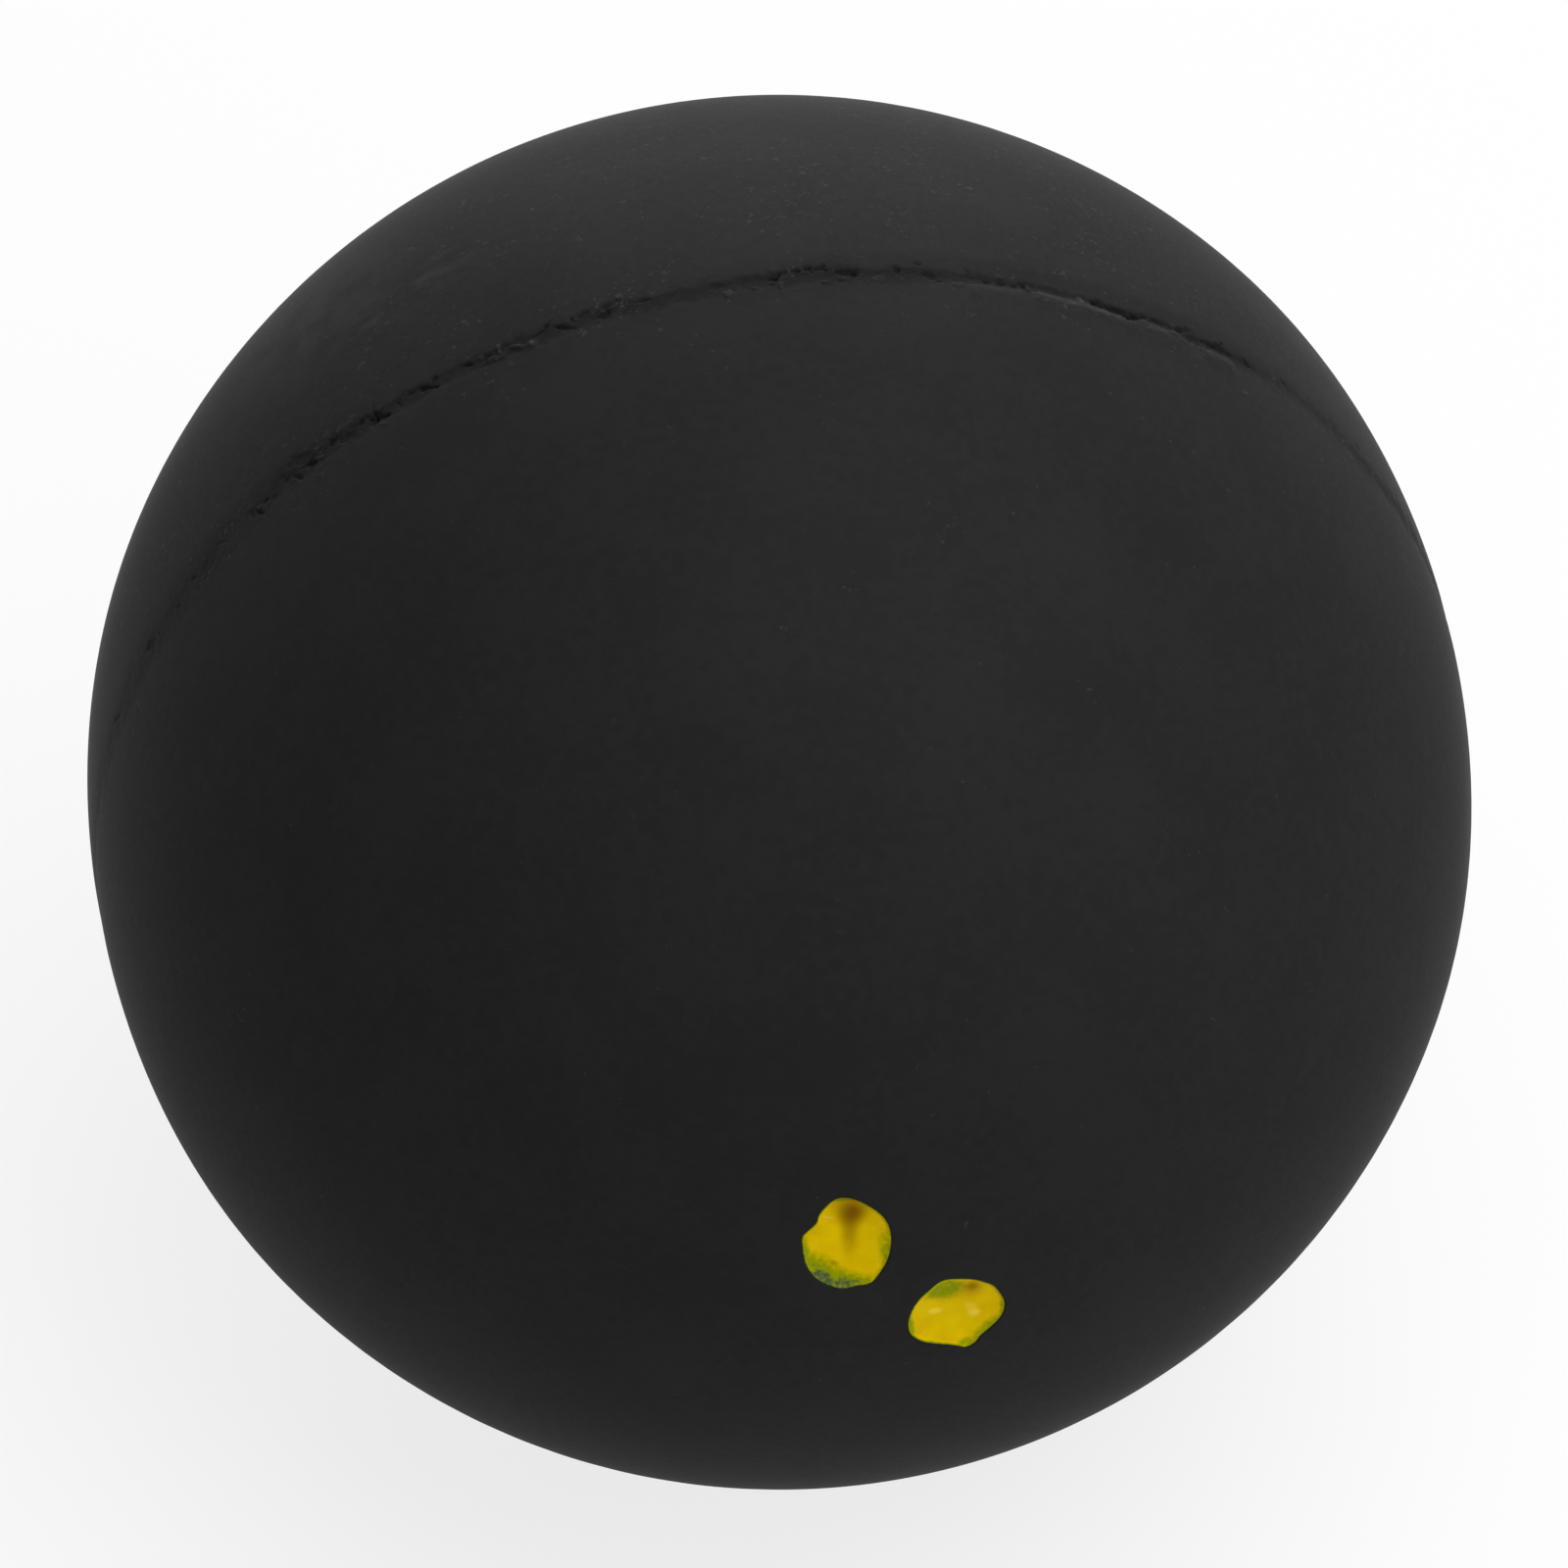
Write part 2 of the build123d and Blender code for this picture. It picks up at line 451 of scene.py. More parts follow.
def seam_surface(across):
    """How far the surface lies above the plain ball, and its painted shade and paleness, at a distance from
    the seam's middle.
    """
    ragged = 0.4 * middle_noise(across) + 0.35 * fine_noise(across)
    lift, shade_and_pale = groove_relief(across)
    lip_lift, lip_light = lip_relief(across, ragged)
    lift = lift + lip_lift
    shade_and_pale = shade_and_pale + lip_light
    add_marks(tears, tear_lift, tear_shade, across, ragged, lift, shade_and_pale)
    add_marks(flashes, flash_lift, flash_lightness, across, ragged, lift, shade_and_pale)
    roughness = 0.006 * middle_noise(across) + 0.005 * fine_noise(across)
    lift = lift + hump(across, rough_reach) * roughness
    return lift, np.clip(shade_and_pale, -1, 1)


# The half shells
band_reach = 1.3  # stretch beside the rim that shows the seam's tears, flash and painted shade
fine_reach = 0.64  # stretch of it with every column
band_fade = 0.5  # stretch at its far end over which the painted shade and paleness fade out
rim_face_radius = 19.35  # where the flat face of the rim begins, under the worn edge
cap_latitude = 72.0  # round the front pole, where the dimples are
pole_latitude = 89.2  # where the triangles round the rear pole begin
cavity_pole_latitude = 88.5  # where those round the cavity's poles begin
crown_crowding = 1.35  # makes the rows of the crown lie closer towards the rim
inside_step = 16  # columns between points on the inside


def outside(height):
    """Distance of a shell's outside from the ball's axis, at a height above the rim plane."""
    drawn = rim_draw_in * np.clip(1 - (height / shoulder_length) ** 2, 0, 1) ** 2
    return np.sqrt(shell_radius**2 - height**2) - drawn


def ring(radius, height, side, step=1):
    """Ring about the ball's axis; side is -1 on the front shell and 1 on the rear one."""
    turn = around[::step]
    radius = np.broadcast_to(radius, COLUMNS)[::step]
    across = np.full(len(turn), side * (half_bond + height))
    points = np.stack([radius * np.cos(turn), across, radius * np.sin(turn)], 1)
    return np.clip(points, np.array(cad_low) / MM, np.array(cad_high) / MM)


def crown_step(latitude):
    """Every how many columns has a point at a latitude, counted from the rim to the pole."""
    limits = [(87.5, 128), (84, 64), (78, 32), (66, 16), (12, 8), (0, 4)]
    return next(step for limit, step in limits if latitude > limit)


def crown_rings(side, top_latitude, rows):
    """Rings of the outside from near the pole down to the worn band beside the rim."""
    band_latitude = math.degrees(math.asin(band_reach / shell_radius))
    shares = np.linspace(1, 0, rows, endpoint=False) ** crown_crowding
    rings = []
    for latitude in band_latitude + (top_latitude - band_latitude) * shares:
        height = shell_radius * math.sin(math.radians(latitude))
        rings.append((ring(outside(height), height, side, crown_step(latitude)), None))
    return rings


def band_rings(side):
    """Rings of the band beside the rim, which carries the seam's relief and its painted shade."""
    rows = [(height, 2) for height in np.linspace(band_reach, fine_reach, 6, endpoint=False)]
    rows += [(height, 1) for height in np.linspace(fine_reach, 0, 17)]
    rings = []
    for height, step in rows:
        lift, shade_and_pale = seam_surface(side * (half_bond + height))
        fade = smooth_step((band_reach - height) / band_fade)
        rings.append((ring(outside(height) + fade * lift, height, side, step), fade * shade_and_pale[::step]))
    return rings


def inside_rings(side):
    """Rings of the rim's flat face, its bevel and the cavity up to near the pole."""
    rings = [(ring(radius, 0, side, step), None) for radius, step in rim_face_rows()]
    bevel_latitude = math.degrees(math.asin(rim_bevel / cavity_radius))
    for latitude in np.linspace(bevel_latitude, cavity_pole_latitude, 26):
        turn = math.radians(latitude)
        radius = cavity_radius * math.cos(turn)
        step = max(inside_step, crown_step(latitude))
        rings.append((ring(radius, cavity_radius * math.sin(turn), side, step), None))
    return rings


def rim_face_rows():
    """Radius and column step of the rings on a rim's flat face, from the outside in."""
    radii = np.linspace(rim_face_radius, bevel_outer_radius, 5)
    return list(zip(radii, (2, 4, 8, inside_step, inside_step)))


def shell_surface(side, top_latitude, rows):
    """A shell but for the part above its top latitude; returns also the ring that is left open."""
    surface = Surface()
    rings = crown_rings(side, top_latitude, rows) + band_rings(side) + inside_rings(side)
    numbers = [surface.add(points, shade_and_pale) for points, shade_and_pale in rings]
    surface.bridge_all(numbers)
    surface.close(numbers[-1], (0, side * (half_bond + cavity_radius), 0))
    return surface, numbers[0]


def front_shell():
    surface, cap_ring = shell_surface(-1, cap_latitude, rows=36)
    fill_cap(surface, cap_ring)
    return surface


def rear_shell():
    surface, pole_ring = shell_surface(1, pole_latitude, rows=50)
    surface.close(pole_ring, (0, half_bond + shell_radius, 0))
    return surface


def cement_ring():
    """The cement: its worn edge between the rims, a thin web and a bead in the bevels."""
    surface = Surface()
    rings = []
    for across in np.linspace(-half_bond, half_bond, 6):
        lift, shade_and_pale = seam_surface(across)
        rings.append((ring(outside(0) + lift, across - half_bond, 1), shade_and_pale))
    for radius, step in rim_face_rows():
        rings.append((ring(radius, 0, 1, step), None))
    for turn in np.radians(np.linspace(90, -90, 9)):
        radius = bevel_inner_radius - bead_height * math.cos(turn)
        reach = (half_bond + rim_bevel) * math.sin(turn)
        rings.append((ring(radius, reach - half_bond, 1, inside_step), None))
    for radius, step in reversed(rim_face_rows()):
        rings.append((ring(radius, -2 * half_bond, 1, step), None))
    numbers = [surface.add(points, shade_and_pale) for points, shade_and_pale in rings]
    surface.bridge_all(numbers + [numbers[0]])
    return surface


# The paint dots: a dot has its middle where its CAD node lies. Its outline and its marks are given from
# there, as seen from the front: thin paint, through which the rubber shows, painted brown shadow in the
# dimple and painted highlights.
Dot = namedtuple("Dot", "node outline thin stain pale")
upper_dot = Dot(
    "yellow_dot_upper",
    outline=[
        (-0.35, 1.70), (0.05, 1.70), (0.58, 1.38), (1.02, 0.88), (1.19, 0.25), (1.12, -0.50), (0.88, -1.10),
        (0.60, -1.49), (0.20, -1.55), (-0.10, -1.62), (-0.45, -1.54), (-0.92, -1.19), (-1.22, -0.63),
        (-1.32, 0.05), (-1.31, 0.42), (-1.18, 0.60), (-0.92, 0.90), (-0.84, 1.18), (-0.62, 1.48),
    ],
    thin=[
        Mark(-0.90, -1.22, 1.60, 0.60, -45, 0.70),
        Mark(-0.90, -0.95, 2.00, 1.05, -44, 0.55),
        Mark(-0.05, -1.64, 1.30, 0.60, -4, 0.60),
        Mark(0.10, -1.56, 1.60, 0.90, -6, 0.50),
        Mark(1.10, -0.45, 1.80, 0.50, 98, 0.45),
        Mark(-1.32, 0.00, 1.20, 0.34, 92, 0.50),
        Mark(-0.15, 1.66, 0.70, 0.20, 0, 0.60),
    ],
    stain=[
        Mark(0.16, 1.10, 0.60, 0.80, -20, 0.80),
        Mark(-0.02, 1.30, 0.80, 0.90, 0, 0.55),
        Mark(0.05, 0.60, 1.20, 0.46, 92, 0.50),
        Mark(0.00, 0.00, 1.20, 0.36, 90, 0.25),
        Mark(-0.40, -0.76, 0.22, 0.14, -30, 0.40),
    ],
    pale=[Mark(-0.58, 0.98, 0.36, 0.06, -25, 0.6)],
)
lower_dot = Dot(
    "yellow_dot_lower",
    outline=[
        (-0.56, 1.52), (-0.22, 1.57), (0.36, 1.42), (0.74, 1.20), (1.05, 0.92), (1.28, 0.44), (1.37, 0.00),
        (1.26, -0.48), (0.97, -0.86), (0.70, -1.14), (0.54, -1.42), (0.28, -1.57), (0.00, -1.42),
        (-0.28, -1.29), (-0.87, -1.04), (-1.18, -0.79), (-1.38, -0.47), (-1.44, 0.00), (-1.34, 0.52),
        (-1.14, 0.93), (-0.87, 1.24),
    ],
    thin=[
        Mark(-0.42, 1.12, 1.25, 0.80, 8, 0.56),
        Mark(-0.20, 0.72, 0.90, 0.80, 0, 0.30),
        Mark(0.96, -0.90, 1.30, 0.56, 48, 0.50),
        Mark(0.22, -1.42, 0.60, 0.36, 0, 0.45),
        Mark(1.36, -0.10, 1.00, 0.24, 95, 0.50),
        Mark(-1.42, -0.15, 1.50, 0.32, 97, 0.60),
        Mark(-0.75, -1.12, 1.10, 0.20, -25, 0.55),
    ],
    stain=[
        Mark(0.42, 1.00, 0.30, 0.34, 0, 0.55),
        Mark(0.42, 0.98, 0.70, 0.60, -30, 0.40),
        Mark(0.45, 0.60, 0.80, 0.40, 80, 0.20),
    ],
    pale=[
        Mark(-0.64, 0.12, 0.38, 0.24, -18, 0.8),
        Mark(0.42, 0.00, 0.50, 0.24, -65, 0.4),
        Mark(0.52, -0.26, 0.32, 0.30, 0, 0.8),
        Mark(0.93, -0.86, 0.14, 0.06, 60, 0.9),
        Mark(0.60, -1.14, 0.16, 0.06, 60, 0.9),
    ],
)
DOT_COLUMNS = 224
dot_turn = np.linspace(0, 2 * math.pi, DOT_COLUMNS, endpoint=False)

# Form of the dimples and of the paint in them
dimple_wall = 0.12  # depth of the floor at the edge
dimple_dish = 0.20  # how much deeper it is in the middle
floor_shares = (0.9, 0.7, 0.45, 0.2)  # of the way from the middle to the edge, where the floor has rings
dimple_floor_edge = 0.995  # share where the floor meets the wall
paint_floor_edge = 0.985  # share where the paint's underside does
paint_gap = 0.01  # between the paint and the dimple, at the edge and below
paint_thickness = 0.06
paint_edge = 0.03  # depth of the paint where it ends on the wall
paint_climb = 0.08  # share of the radius over which it climbs the wall
paint_rows = 40
paint_crowding = 1.5  # makes the rows lie closer towards the edge
paint_last_row = 0.985  # stops them just before the middle
thin_edge = 0.7  # how thin the paint is at its edge
thin_edge_width = 0.09
cap_spacing = 0.3  # between points of the front pole round the dimples


def dot_middle(dot):
    """Place of a dot's middle, as seen from the front."""
    low, high = node_box(dot.node)
    return ((low + high) / 2)[[0, 2]]


def dot_radius(dot):
    """Distance of a smooth curve through a dot's outline from its middle, for every column of the dot."""
    corners = np.array(dot.outline)
    before, after, second = (np.roll(corners, -shift, 0) for shift in (-1, 1, 2))
    curve = []
    for share in np.linspace(0, 1, 12, endpoint=False):
        bend = (after - before) + share * (2 * before - 5 * corners + 4 * after - second)
        bend = bend + share**2 * (3 * (corners - after) + second - before)
        curve.append(corners + 0.5 * share * bend)
    curve = np.concatenate(curve)
    turn = np.arctan2(curve[:, 1], curve[:, 0])
    order = np.argsort(turn)
    return np.interp(dot_turn, turn[order], np.hypot(*curve.T)[order], period=2 * math.pi)


def on_front(across, up, depth):
    """Points at a depth below the front shell's outside, by their place as seen from the front."""
    across, up, depth = np.broadcast_arrays(*np.atleast_1d(across, up, depth))
    toward = np.sqrt(shell_radius**2 - across**2 - up**2)
    keep = 1 - depth / shell_radius
    return np.stack([across * keep, -half_bond - toward * keep, up * keep], 1)


def dot_ring(dot, radius, depth):
    """Ring round the middle of a dot."""
    middle = dot_middle(dot)
    return on_front(middle[0] + radius * np.cos(dot_turn), middle[1] + radius * np.sin(dot_turn), depth)


def dish_depth(share):
    """Depth of a dimple's floor, from its middle (share 0) to its edge (share 1)."""
    return dimple_wall + dimple_dish * (1 - share**2)


# Rings round the edge of a dimple: distance outside the outline and depth
dimple_edge = ((0.26, 0), (0.12, 0), (0.05, 0.002), (0.02, 0.010), (0.004, 0.03), (0, 0.06))


def add_dimple(surface, dot):
    """Adds a dimple of the front shell and returns the ring round it."""
    radius = dot_radius(dot)
    rings = [surface.add(dot_ring(dot, radius + out, depth)) for out, depth in dimple_edge]
    for share in (dimple_floor_edge, *floor_shares):
        rings.append(surface.add(dot_ring(dot, radius * share, dish_depth(share))))
    surface.bridge_all(rings)
    surface.close(rings[-1], on_front(*dot_middle(dot), dish_depth(0))[0])
    return rings[0]


def outside_dot(dot, places, margin):
    """Which places lie outside a dot's outline by a margin."""
    away = places - dot_middle(dot)
    turn = np.arctan2(away[:, 1], away[:, 0])
    radius = np.interp(turn, dot_turn, dot_radius(dot), period=2 * math.pi)
    return np.hypot(*away.T) > radius + margin


def fill_cap(surface, cap_ring):
    """Adds the dimples to the front shell and fills the pole round them."""
    dots = (upper_dot, lower_dot)
    loops = [add_dimple(surface, dot) for dot in dots]
    cap_radius = shell_radius * math.cos(math.radians(cap_latitude))
    places = []
    for reach in np.arange(cap_radius - cap_spacing, 0, -cap_spacing):
        turn = np.arange(0, 2 * math.pi, cap_spacing / reach) + reach
        places.append(np.stack([reach * np.cos(turn), reach * np.sin(turn)], 1))
    places = np.concatenate(places)
    margin = dimple_edge[0][0] + cap_spacing / 2
    places = places[np.all([outside_dot(dot, places, margin) for dot in dots], 0)]
    filling = surface.add(on_front(places[:, 0], places[:, 1], 0))
    numbers = np.concatenate([cap_ring, *loops, filling])
    flat = [Vector(place) for place in surface.points()[numbers][:, [0, 2]]]
    outlines = []
    first = 0
    for loop in (cap_ring, *loops):
        outlines.append(list(range(first, first + len(loop))))
        first += len(loop)
    inside_outlines = 1  # kind of result: only the triangles that lie in an outline
    tolerance = 1e-7
    found = delaunay_2d_cdt(flat, [], outlines, inside_outlines, tolerance)
    _, _, faces, sources, _, face_outlines = found
    for face, owners in zip(faces, face_outlines):
        if owners == [0]:  # within the cap's ring and in no dimple
            surface.faces.append([numbers[sources[corner][0]] for corner in face])


def paint_tint(dot, radius, share):
    """How thin the paint is on a ring, and how strong its painted brown shadow and painted highlights are.
    """
    along = radius * share * np.cos(dot_turn)
    across = radius * share * np.sin(dot_turn)
    tints = []
    soft_edges = ((dot.thin, 1.4), (dot.stain, 1.9), (dot.pale, 1.2))
    for marks, edge in soft_edges:
        total = np.zeros(DOT_COLUMNS)
        for mark in marks:
            shape = mark.strength * mark_shape(mark, along - mark.along, across - mark.across, edge)
            total = 1 - (1 - total) * (1 - shape)
        tints.append(total)
    from_edge = radius * (1 - share)
    tints[0] = np.maximum(tints[0], thin_edge * smooth_step(1 - from_edge / thin_edge_width))
    return np.stack(tints, 1)


def paint_film(dot):
    """Paint in a dimple: it ends on the wall and lies in a dish."""
    surface = Surface(tint=(0, 0, 0))
    radius = dot_radius(dot) - paint_gap
    top = []
    for share in 1 - np.linspace(0, paint_last_row, paint_rows) ** paint_crowding:
        off_wall = smooth_step((1 - share) / paint_climb)
        depth = paint_edge * (1 - off_wall) + (dish_depth(share) - paint_thickness) * off_wall
        top.append(surface.add(dot_ring(dot, radius * share, depth), paint_tint(dot, radius, share)))
    surface.bridge_all(top)
    surface.close(top[-1], on_front(*dot_middle(dot), dish_depth(0) - paint_thickness)[0])
    under = [top[0]]
    for share in (paint_floor_edge, *floor_shares):
        under.append(surface.add(dot_ring(dot, radius * share, dish_depth(share) - paint_gap)))
    surface.bridge_all(under)
    surface.close(under[-1], on_front(*dot_middle(dot), dish_depth(0) - paint_gap)[0])
    return surface


class Nodes:
    """Shorthand for the node tree of a material or a world."""

    def __init__(self, owner):
        self.owner = owner
        owner.use_nodes = True
        self.tree = owner.node_tree
        self.tree.nodes.clear()

    def add(self, kind, inputs=None, **settings):
        """A node with some of its settings and sockets set; a socket as value is linked."""
        node = self.tree.nodes.new("ShaderNode" + kind)
        for setting, value in settings.items():
            setattr(node, setting, value)
        for socket, value in (inputs or {}).items():
            if isinstance(value, bpy.types.NodeSocket):
                self.tree.links.new(value, node.inputs[socket])
            else:
                node.inputs[socket].default_value = value
        return node

    def ramp(self, value, low, high):
        """Eases a value to 0 at low and to 1 at high."""
        inputs = {"Value": value, "From Min": low, "From Max": high}
        return self.add("MapRange", inputs, interpolation_type="SMOOTHSTEP").outputs["Result"]

    def spread(self, value, low, high):
        """Turns a value between 0 and 1 into one between low and high."""
        inputs = {"Value": value, "To Min": low, "To Max": high}
        return self.add("MapRange", inputs).outputs["Result"]

    def math(self, operation, one, two):
        return self.add("Math", {0: one, 1: two}, operation=operation).outputs[0]

    def vector(self, operation, one, two):
        return self.add("VectorMath", {0: one, 1: two}, operation=operation).outputs[0]

    def length(self, vector):
        return self.add("VectorMath", {0: vector}, operation="LENGTH").outputs["Value"]

    def mix(self, share, one, two):
        """Colour between two colours."""
        return self.add("Mix", {0: share, 6: one, 7: two}, data_type="RGBA").outputs[2]

    def noise(self, place, scale, detail):
        inputs = {"Vector": place, "Scale": scale, "Detail": detail}
        return self.add("TexNoise", inputs).outputs["Fac"]

    def swing(self, noise, amount):
        """Turns a noise between 0 and 1 into one round 0 whose range is the amount."""
        return self.math("MULTIPLY", self.math("SUBTRACT", noise, 0.5), amount)

    def tint(self, name):
        return self.add("Attribute", attribute_name=name).outputs["Fac"]

    def millimetres(self):
        """Place on the object, in millimetres."""
        return self.vector("MULTIPLY", self.add("TexCoord").outputs["Object"], (1 / MM,) * 3)

    def surface(self, inputs):
        """Ends a material with a principled shader."""
        shader = self.add("BsdfPrincipled", inputs)
        self.add("OutputMaterial", {"Surface": shader.outputs["BSDF"]})
        return self.owner


def grey(level):
    return (level, level, level, 1)


def seam_shaded(nodes, colour, dark):
    """A colour with the seam's painted shade: dark in the groove, in the tears and in the bands beside it,
    and pale on the lip and where flash stands up.
    """
    pale = grey(0.045)
    shade_and_pale = nodes.tint("shade_and_pale")
    colour = nodes.mix(nodes.ramp(shade_and_pale, 0.0, -1.0), colour, dark)
    return nodes.mix(nodes.ramp(shade_and_pale, 0.0, 1.0), colour, pale)


def dust_and_pits(nodes, place):
    """Where the rubber has specks of dust, in clusters, and small pits; both lie mostly on the top rear."""
    axes = nodes.add("SeparateXYZ", {0: place}).outputs
    dusty = nodes.math("MULTIPLY", nodes.ramp(axes["Y"], -3.5, 0.5), nodes.ramp(axes["Z"], 2.0, 12.0))
    cluster = nodes.swing(nodes.noise(place, 0.5, 2), 0.3)
    dust = nodes.math("MAXIMUM", nodes.noise(place, 3.8, 2), nodes.noise(place, 5.6, 2))
    dust = nodes.math("ADD", dust, nodes.spread(dusty, -0.01, 0.06))
    speck = nodes.ramp(nodes.math("ADD", dust, cluster), 0.72, 0.84)
    pit = nodes.math("MULTIPLY", nodes.ramp(nodes.noise(place, 4.6, 2), 0.7, 0.8), dusty)
    return speck, pit


def rub_mark(nodes, place):
    """Where the rear shell is rubbed: a streaky patch on its upper left."""
    middle = (-10.3, 4.7, 16.5)
    shrink = (0.14, 0.5, 0.5)  # makes the patch long from side to side
    distance = nodes.length(nodes.vector("MULTIPLY", nodes.vector("SUBTRACT", place, middle), shrink))
    streaks = nodes.noise(nodes.vector("MULTIPLY", place, (0.15, 2.0, 2.0)), 1.0, 3)
    return nodes.math("MULTIPLY", nodes.ramp(distance, 1.1, 0.1), nodes.ramp(streaks, 0.4, 0.8))


def rubber_material():
    """Matte black moulded rubber: painted shade and paler flash at the seam, dusty on top, rubbed, lighter
    in two patches, and with a fine grain.
    """
    nodes = Nodes(bpy.data.materials.new("shell_rubber_look"))
    place = nodes.millimetres()
    fine_mottle = nodes.swing(nodes.noise(place, 3.0, 3), 1.1)
    mottle = nodes.math("ADD", nodes.noise(place, 0.3, 4), fine_mottle)
    colour = nodes.mix(nodes.ramp(mottle, 0.3, 0.7), grey(0.0123), grey(0.0145))
    colour = seam_shaded(nodes, colour, grey(0.004))

    speck, pit = dust_and_pits(nodes, place)
    colour = nodes.mix(speck, colour, grey(0.028))
    colour = nodes.mix(pit, colour, grey(0.008))
    colour = nodes.mix(rub_mark(nodes, place), colour, grey(0.025))

    # Two lighter patches on the rear, on its upper left and at its right edge
    light_patches = (((-12.5, 6.5, 14.1), 4.5), ((16.3, 6.0, 10.0), 5.5))  # their middles and reaches
    patch_spread = nodes.ramp(nodes.noise(place, 0.8, 4), 0.3, 0.65)
    for middle, reach in light_patches:
        distance = nodes.length(nodes.vector("SUBTRACT", place, middle))
        light_patch = nodes.math("MULTIPLY", nodes.ramp(distance, reach, 0.0), patch_spread)
        colour = nodes.mix(light_patch, colour, grey(0.022))

    grain = nodes.noise(place, 7.0, 3)
    height = nodes.math("ADD", nodes.math("MULTIPLY", grain, 0.3), speck)
    bump = nodes.add("Bump", {"Height": height, "Strength": 0.3, "Distance": 0.02 * MM})
    inputs = {
        "Base Color": colour,
        "Roughness": nodes.spread(grain, 0.65, 0.85),
        "Specular IOR Level": 0.05,
        "Coat Weight": 0.02,
        "Coat Roughness": 0.3,
        "Sheen Weight": 0.05,
        "Sheen Roughness": 0.15,
        "Normal": bump.outputs["Normal"],
    }
    return nodes.surface(inputs)


def cement_material():
    """Dull black cured cement with crumbs and the seam's painted shade."""
    nodes = Nodes(bpy.data.materials.new("seam_cement_look"))
    grain = nodes.noise(nodes.millimetres(), 9.0, 4)
    colour = nodes.mix(nodes.ramp(grain, 0.3, 0.7), grey(0.0095), grey(0.0145))
    colour = seam_shaded(nodes, colour, grey(0.003))
    bump = nodes.add("Bump", {"Height": grain, "Strength": 0.4, "Distance": 0.03 * MM})
    inputs = {
        "Base Color": colour,
        "Roughness": 0.8,
        "Specular IOR Level": 0.1,
        "Normal": bump.outputs["Normal"],
    }
    return nodes.surface(inputs)


def paint_material():
    """Yellow marker paint: green and then grey where it is thin, with painted highlights and a painted
    brown shadow.
    """
    deep_yellow = (0.65, 0.43, 0.0, 1)
    yellow = (0.72, 0.50, 0.0, 1)
    glint_yellow = (0.81, 0.60, 0.05, 1)
    green = (0.245, 0.285, 0.0, 1)
    grey_green = (0.065, 0.095, 0.035, 1)
    shadow_brown = (0.145, 0.058, 0.0, 1)
    nodes = Nodes(bpy.data.materials.new("dot_paint_look"))
    place = nodes.millimetres()
    flow = nodes.noise(place, 1.3, 3)
    patchy = nodes.swing(nodes.noise(place, 7.0, 4), 1.3)
    thin = nodes.tint("thin")
    thin = nodes.math("ADD", thin, nodes.math("MULTIPLY", patchy, thin))
    colour = nodes.mix(nodes.ramp(flow, 0.3, 0.7), deep_yellow, yellow)
    # Painted highlights: pale yellow patches and glints on the paint
    colour = nodes.mix(nodes.tint("pale"), colour, glint_yellow)
    colour = nodes.mix(nodes.ramp(thin, 0.1, 0.6), colour, green)
    colour = nodes.mix(nodes.ramp(thin, 0.6, 1.0), colour, grey_green)
    # Painted shadow: brown where the dimple's upper rim shades the paint
    colour = nodes.mix(nodes.tint("stain"), colour, shadow_brown)
    bump = nodes.add("Bump", {"Height": flow, "Strength": 0.3, "Distance": 0.05 * MM})
    inputs = {
        "Base Color": colour,
        "Roughness": 0.4,
        "Specular IOR Level": 0.01,
        "Normal": bump.outputs["Normal"],
    }
    return nodes.surface(inputs)


rubber = rubber_material()
cement = cement_material()
paint = paint_material()
make_piece("front_shell", front_shell(), rubber, "front_half_shell")
make_piece("rear_shell", rear_shell(), rubber, "rear_half_shell")
make_piece("seam_cement_ring", cement_ring(), cement, "seam_bond")
make_piece("upper_dot_paint", paint_film(upper_dot), paint, upper_dot.node)
make_piece("lower_dot_paint", paint_film(lower_dot), paint, lower_dot.node)
visual_low, visual_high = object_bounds()

# Camera: the photograph's viewing angle, with the ball's outline as large and as placed as in it
view_azimuth = math.radians(-8.7)
view_elevation = math.radians(43.4)
view_distance = 600.0
image_size = 1600
outline_radius = 709.4  # pixels
outline_right = -5.2  # of the outline's middle from the image's, in pixels
outline_up = -8.3
sensor_width = 36.0

back = Vector((
    math.sin(view_azimuth) * math.cos(view_elevation),
    -math.cos(view_azimuth) * math.cos(view_elevation),
    math.sin(view_elevation),
))
right = Vector((math.cos(view_azimuth), math.sin(view_azimuth), 0))
up = back.cross(right)
pixels_per_slope = outline_radius / math.tan(math.asin(shell_radius / view_distance))
pixel_at_ball = view_distance / pixels_per_slope
aim = -(right * outline_right + up * outline_up) * pixel_at_ball
camera_data = bpy.data.cameras.new("camera")
camera_data.sensor_width = sensor_width
camera_data.lens = pixels_per_slope * sensor_width / image_size
camera_data.clip_start = 0.01
camera_data.clip_end = 20
camera = bpy.data.objects.new("camera", camera_data)
camera.location = back * view_distance * MM
camera.rotation_mode = "QUATERNION"
camera.rotation_quaternion = (aim - back * view_distance).to_track_quat("-Z", "Y")
bpy.context.collection.objects.link(camera)
bpy.context.scene.camera = camera


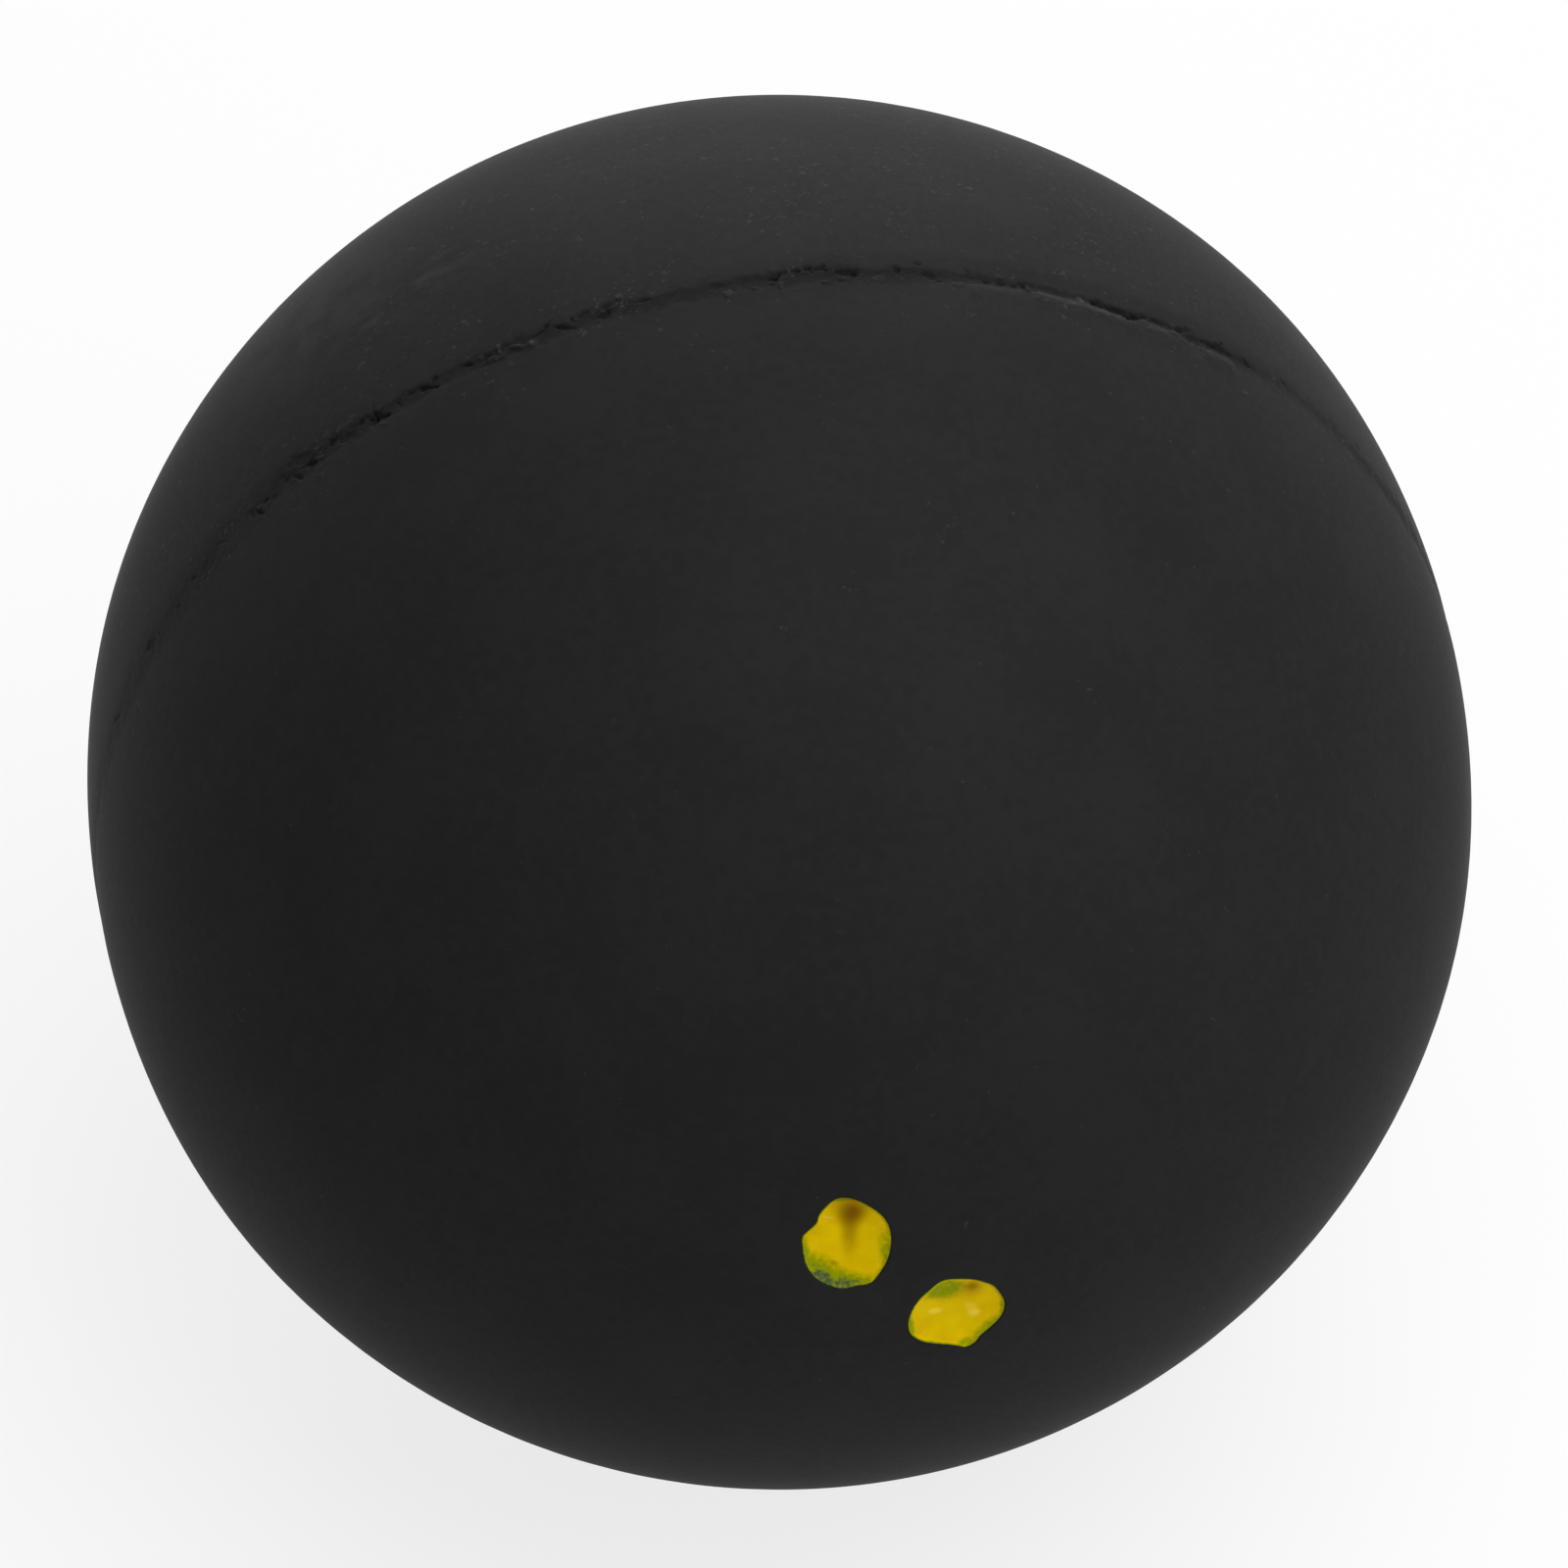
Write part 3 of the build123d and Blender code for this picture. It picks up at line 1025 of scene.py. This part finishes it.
def seen_directly(nodes):
    """1 for rays from the camera and for mirrored or refracted ones, 0 for the light's own rays."""
    path = nodes.add("LightPath").outputs
    seen = nodes.math("MAXIMUM", path["Is Camera Ray"], path["Is Glossy Ray"])
    return nodes.math("MAXIMUM", seen, path["Is Transmission Ray"])


# Floor: pale and plain, seen as white, with the ball's soft shadow
floor_size = 6.0  # metres
floor_whiteness = 0.8  # share of plain white where the floor is seen


def floor_material():
    nodes = Nodes(bpy.data.materials.new("floor_look"))
    lit = nodes.add("BsdfDiffuse", {"Color": grey(0.8)}).outputs["BSDF"]
    white = nodes.add("Emission", {"Color": grey(1.0), "Strength": 1.0}).outputs["Emission"]
    share = nodes.math("MULTIPLY", seen_directly(nodes), floor_whiteness)
    mixed = nodes.add("MixShader", {0: share, 1: lit, 2: white}).outputs["Shader"]
    nodes.add("OutputMaterial", {"Surface": mixed})
    return nodes.owner


floor_data = bpy.data.meshes.new("floor")
corners = [(-1, -1), (1, -1), (1, 1), (-1, 1)]
floor_points = [(x * floor_size / 2, y * floor_size / 2, visual_low.z) for x, y in corners]
floor_data.from_pydata(floor_points, [], [(0, 1, 2, 3)])
floor_data.materials.append(floor_material())
floor = bpy.data.objects.new("floor", floor_data)
bpy.context.collection.objects.link(floor)

# World: white where it is seen, and a dim even light
world_light = 0.22
world = bpy.data.worlds.new("world")
bpy.context.scene.world = world
world_nodes = Nodes(world)
world_strength = world_nodes.spread(seen_directly(world_nodes), world_light, 1.0)
sky = world_nodes.add("Background", {"Color": grey(1.0), "Strength": world_strength})
world_nodes.add("OutputWorld", {"Surface": sky.outputs["Background"]})


def soft_light(name, place, size, energy):
    """Square area light that faces the ball; the place and size are in millimetres."""
    data = bpy.data.lights.new(name, "AREA")
    data.size = size * MM
    data.energy = energy
    light = bpy.data.objects.new(name, data)
    light.location = Vector(place) * MM
    light.rotation_mode = "QUATERNION"
    light.rotation_quaternion = (-Vector(place)).to_track_quat("-Z", "Y")
    bpy.context.collection.objects.link(light)


soft_light("top_light", (110, -80, 360), size=420, energy=1.7)
soft_light("back_light", (50, 360, 150), size=300, energy=0.85)
soft_light("front_light", (260, -280, 80), size=300, energy=0.35)

bpy.context.scene.view_settings.view_transform = "Standard"
